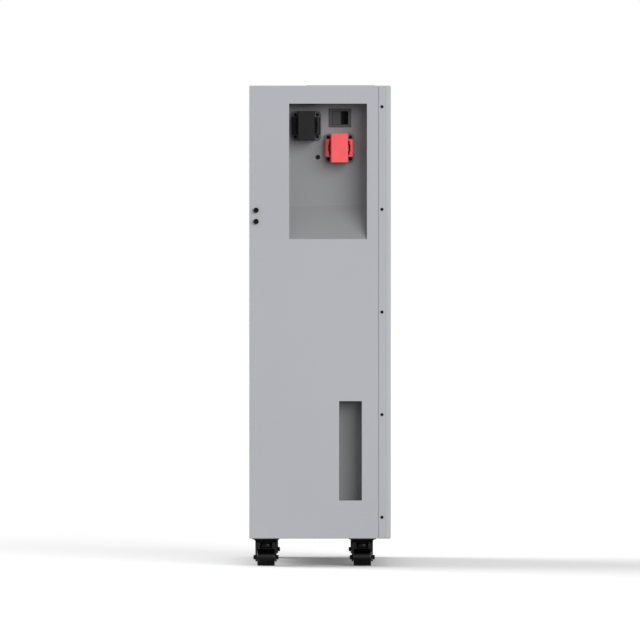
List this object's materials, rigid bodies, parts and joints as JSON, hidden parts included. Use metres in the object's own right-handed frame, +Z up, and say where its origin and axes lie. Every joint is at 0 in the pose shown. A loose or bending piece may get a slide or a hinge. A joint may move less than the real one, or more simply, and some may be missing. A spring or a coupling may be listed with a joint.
{
  "type": "solar battery pack",
  "caption": "Floor-standing solar battery cabinet on casters, with a recessed side pocket for two capped terminals and a rocker switch, hand grips and a strapped cell stack inside.",
  "frame": {"origin": "on the floor, below the middle of the cabinet", "axes": "+Z up, +Y towards the rear wall, front cover towards -Y, terminal pocket on -X"},
  "size_m": [0.471, 0.25, 0.852],
  "materials": {
    "cabinet_paint": "fine powder coat",
    "pocket_paint": "fine powder coat",
    "screw_steel": "zinc plated",
    "black_steel": "black oxide",
    "nut_steel": "zinc plated",
    "black_plastic": "fine moulded grain",
    "rocker_plastic": "smooth",
    "red_plastic": "satin",
    "post_brass": "machined",
    "bar_copper": "bare copper, sheared",
    "tray_steel": "galvanised",
    "cell_case": "wrapped in blue film",
    "link_aluminium": "bare strip",
    "insulator_film": "glass fibre sheet",
    "clamp_aluminium": "bare plate",
    "fuse_insulator": "moulded",
    "fuse_body": "plated blades, ceramic body",
    "board_green": "solder mask",
    "heatsink_aluminium": "extruded",
    "caster_metal": "black",
    "axle_steel": "blackened",
    "wheel_plastic": "moulded tread"
  },
  "bodies": {
    "cabinet": {"cabinet_shell": "cabinet_paint", "front_cover": "cabinet_paint", "top_plate": "cabinet_paint", "cover_screws": "black_steel", "terminal_pocket": "pocket_paint", "grip_pocket_left": "pocket_paint", "grip_pocket_right": "pocket_paint", "rivet_nuts": "nut_steel", "bracket_screws": "black_steel", "negative_terminal_base": "black_plastic", "negative_terminal_post": "post_brass", "positive_terminal_base": "red_plastic", "positive_terminal_post": "post_brass", "terminal_screws": "black_steel", "switch_housing": "black_plastic", "cell_tray": "tray_steel", "cell_layer_1": "cell_case", "cell_layer_2": "cell_case", "cell_layer_3": "cell_case", "cell_layer_4": "cell_case", "cell_layer_5": "cell_case", "cell_layer_6": "cell_case", "cell_layer_7": "cell_case", "cell_layer_8": "cell_case", "cell_insulators": "insulator_film", "cell_links": "link_aluminium", "clamp_plate": "clamp_aluminium", "cell_straps": "tray_steel", "fuse_base": "fuse_insulator", "fuse_link": "fuse_body", "bms_heatsink": "heatsink_aluminium", "bms_board": "board_green", "stack_to_fuse_bar": "bar_copper", "stack_to_bms_bar": "bar_copper", "fuse_to_post_bar": "bar_copper", "bms_to_post_bar": "bar_copper", "flange_bolts": "screw_steel", "caster_screws": "black_steel", "caster_nuts": "screw_steel", "caster_kingpins": "black_steel", "caster_plate_rear_left": "caster_metal", "caster_plate_rear_right": "caster_metal", "caster_plate_front_left": "caster_metal", "caster_plate_front_right": "caster_metal"},
    "caster_swivel_rear_left": {"caster_fork_rear_left": "caster_metal", "caster_axle_rear_left": "axle_steel"},
    "caster_roller_rear_left": {"caster_wheel_rear_left": "wheel_plastic"},
    "caster_swivel_rear_right": {"caster_fork_rear_right": "caster_metal", "caster_axle_rear_right": "axle_steel"},
    "caster_roller_rear_right": {"caster_wheel_rear_right": "wheel_plastic"},
    "caster_swivel_front_left": {"caster_fork_front_left": "caster_metal", "caster_axle_front_left": "axle_steel"},
    "caster_roller_front_left": {"caster_wheel_front_left": "wheel_plastic"},
    "caster_swivel_front_right": {"caster_fork_front_right": "caster_metal", "caster_axle_front_right": "axle_steel"},
    "caster_roller_front_right": {"caster_wheel_front_right": "wheel_plastic"},
    "negative_cap": {"negative_terminal_cap": "black_plastic"},
    "positive_cap": {"positive_terminal_cap": "red_plastic"},
    "rocker": {"switch_rocker": "rocker_plastic"}
  },
  "joints": [
    {"name": "rear_left_swivel", "type": "hinge", "parent": "cabinet", "child": "caster_swivel_rear_left", "pos_m": [-0.185, 0.0958, 0.042], "axis": [0, 0, 1], "continuous": true},
    {"name": "rear_left_wheel_spin", "type": "hinge", "parent": "caster_swivel_rear_left", "child": "caster_roller_rear_left", "pos_m": [-0.175, 0.0958, 0.015], "axis": [0, 1, 0], "continuous": true},
    {"name": "rear_right_swivel", "type": "hinge", "parent": "cabinet", "child": "caster_swivel_rear_right", "pos_m": [0.185, 0.0958, 0.042], "axis": [0, 0, 1], "continuous": true},
    {"name": "rear_right_wheel_spin", "type": "hinge", "parent": "caster_swivel_rear_right", "child": "caster_roller_rear_right", "pos_m": [0.195, 0.0958, 0.015], "axis": [0, 1, 0], "continuous": true},
    {"name": "front_left_swivel", "type": "hinge", "parent": "cabinet", "child": "caster_swivel_front_left", "pos_m": [-0.185, -0.075, 0.042], "axis": [0, 0, 1], "continuous": true},
    {"name": "front_left_wheel_spin", "type": "hinge", "parent": "caster_swivel_front_left", "child": "caster_roller_front_left", "pos_m": [-0.175, -0.075, 0.015], "axis": [0, 1, 0], "continuous": true},
    {"name": "front_right_swivel", "type": "hinge", "parent": "cabinet", "child": "caster_swivel_front_right", "pos_m": [0.185, -0.075, 0.042], "axis": [0, 0, 1], "continuous": true},
    {"name": "front_right_wheel_spin", "type": "hinge", "parent": "caster_swivel_front_right", "child": "caster_roller_front_right", "pos_m": [0.195, -0.075, 0.015], "axis": [0, 1, 0], "continuous": true},
    {"name": "negative_cap_pull", "type": "slide", "parent": "cabinet", "child": "negative_cap", "axis": [-1, 0, 0], "range_m": [0, 0.036]},
    {"name": "positive_cap_pull", "type": "slide", "parent": "cabinet", "child": "positive_cap", "axis": [-1, 0, 0], "range_m": [0, 0.036]},
    {"name": "switch_rock", "type": "hinge", "parent": "cabinet", "child": "rocker", "pos_m": [-0.1804, -0.0356, 0.7946], "axis": [0, 0, -1], "range_deg": [0, 20]}
  ]
}
